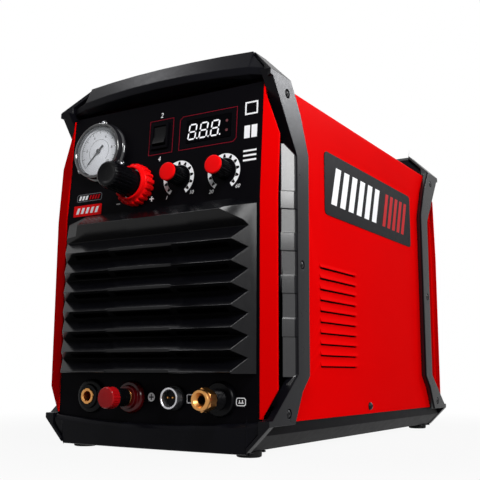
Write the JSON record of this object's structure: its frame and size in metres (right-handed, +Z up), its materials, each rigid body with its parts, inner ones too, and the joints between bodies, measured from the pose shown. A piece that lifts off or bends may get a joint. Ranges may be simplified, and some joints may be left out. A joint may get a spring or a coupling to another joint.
{
  "type": "plasma cutter unit",
  "caption": "Portable inverter plasma cutter: sheet-metal case in moulded end frames, with gauge, regulator, knobs, sockets, rear fan, carry handle and inner power parts.",
  "frame": {"origin": "on the ground under the middle of the four feet", "axes": "+X to the right seen from the front, +Y from the front panel to the rear panel, +Z up"},
  "size_m": [0.2682, 0.5804, 0.4198],
  "materials": {
    "red_paint": "smooth gloss powder coat",
    "black_paint": "satin powder coat",
    "black_frame": "fine-grained satin moulding",
    "black_plastic": "satin moulding",
    "red_plastic": "gloss moulding",
    "brass": "turned",
    "chrome": "bright plating",
    "steel": "zinc plated",
    "aluminium": "cast and extruded",
    "rubber": "matte",
    "dial_white": "printed dial face",
    "smoked_plastic": "dark gloss moulding",
    "clear_glass": "clear",
    "circuit_board": "solder mask",
    "transformer_core": "varnished"
  },
  "bodies": {
    "case": {"base_tray": "black_paint", "foot_front_left": "rubber", "foot_front_right": "rubber", "foot_rear_left": "rubber", "foot_rear_right": "rubber", "outer_cover": "red_paint", "front_strut_right": "black_frame", "front_strut_left": "black_frame", "rear_strut_right": "black_frame", "rear_strut_left": "black_frame", "front_hood": "black_frame", "rear_hood": "black_frame", "front_chin": "black_frame", "rear_chin": "black_frame", "front_trim_right": "red_paint", "front_trim_left": "red_paint", "rear_trim_right": "red_paint", "rear_trim_left": "red_paint", "front_panel": "black_paint", "rear_panel": "black_paint", "front_grille": "black_plastic", "gauge_case": "smoked_plastic", "gauge_dial": "dial_white", "gauge_lens": "clear_glass", "filter_regulator": "aluminium", "regulator_ring": "red_plastic", "mode_switch_housing": "black_plastic", "display_module": "black_plastic", "control_board": "circuit_board", "pilot_socket": "black_plastic", "pilot_socket_contact": "brass", "work_terminal_base": "red_plastic", "work_terminal_stud": "brass", "torch_switch_socket": "chrome", "torch_flange": "black_plastic", "torch_fitting": "brass", "fan_frame": "black_plastic", "fan_guard": "steel", "power_switch_housing": "black_plastic", "cable_gland": "black_plastic", "air_inlet": "brass", "carry_handle": "black_frame", "inner_shelf": "steel", "heat_sink": "aluminium", "power_board": "circuit_board", "main_transformer": "transformer_core", "solenoid_valve": "brass", "air_hose": "rubber"},
    "gauge_pointer": {"gauge_needle": "black_paint"},
    "regulator_stem": {"regulator_spindle": "steel"},
    "regulator_grip": {"regulator_knob": "black_plastic"},
    "mode_rocker": {"mode_switch_rocker": "black_plastic"},
    "postflow_dial": {"postflow_knob": "black_plastic", "postflow_knob_cap": "red_plastic"},
    "current_dial": {"current_knob": "black_plastic", "current_knob_cap": "red_plastic"},
    "terminal_washer": {"work_terminal_washer": "brass"},
    "terminal_cap": {"work_terminal_cap": "red_plastic"},
    "fan": {"fan_rotor": "black_plastic"},
    "power_rocker": {"power_switch_rocker": "red_plastic"}
  },
  "joints": [
    {"name": "gauge_needle_turn", "type": "hinge", "parent": "case", "child": "gauge_pointer", "pos_m": [-0.076, -0.23864, 0.3015], "axis": [0, 0.9976, -0.0698], "range_deg": [0, 270], "stiffness_Nm_per_rad": 0.0005},
    {"name": "regulator_turn", "type": "hinge", "parent": "case", "child": "regulator_stem", "pos_m": [-0.026, -0.24158, 0.2595], "axis": [0, -0.9976, 0.0698], "range_deg": [0, 1350]},
    {"name": "regulator_knob_pull", "type": "slide", "parent": "regulator_stem", "child": "regulator_grip", "axis": [0, -0.9976, 0.0698], "range_m": [0, 0.005]},
    {"name": "mode_rocker_tilt", "type": "hinge", "parent": "case", "child": "mode_rocker", "pos_m": [-0.001, -0.23616, 0.30836], "axis": [1, 0, 0], "range_deg": [0, 18]},
    {"name": "postflow_turn", "type": "hinge", "parent": "case", "child": "postflow_dial", "pos_m": [0.0263, -0.2414, 0.262], "axis": [0, -0.9976, 0.0698], "range_deg": [-135, 135]},
    {"name": "current_turn", "type": "hinge", "parent": "case", "child": "current_dial", "pos_m": [0.0786, -0.2414, 0.262], "axis": [0, -0.9976, 0.0698], "range_deg": [-135, 135]},
    {"name": "terminal_washer_slide", "type": "slide", "parent": "case", "child": "terminal_washer", "axis": [0, -1, 0], "range_m": [0, 0.004]},
    {"name": "terminal_cap_turn", "type": "hinge", "parent": "terminal_washer", "child": "terminal_cap", "pos_m": [-0.024, -0.2435, 0.0505], "axis": [0, -1, 0], "range_deg": [0, 1152]},
    {"name": "fan_spin", "type": "hinge", "parent": "case", "child": "fan", "pos_m": [0, 0.2435, 0.16], "axis": [0, 1, 0], "continuous": true},
    {"name": "power_rocker_tilt", "type": "hinge", "parent": "case", "child": "power_rocker", "pos_m": [-0.062, 0.23645, 0.28979], "axis": [0, -0.0698, 0.9976], "range_deg": [-16, 0]}
  ],
  "couplings": [
    {"joint": "terminal_washer_slide", "follows": "terminal_cap_turn", "m_per_rad": 0.00019894}
  ]
}
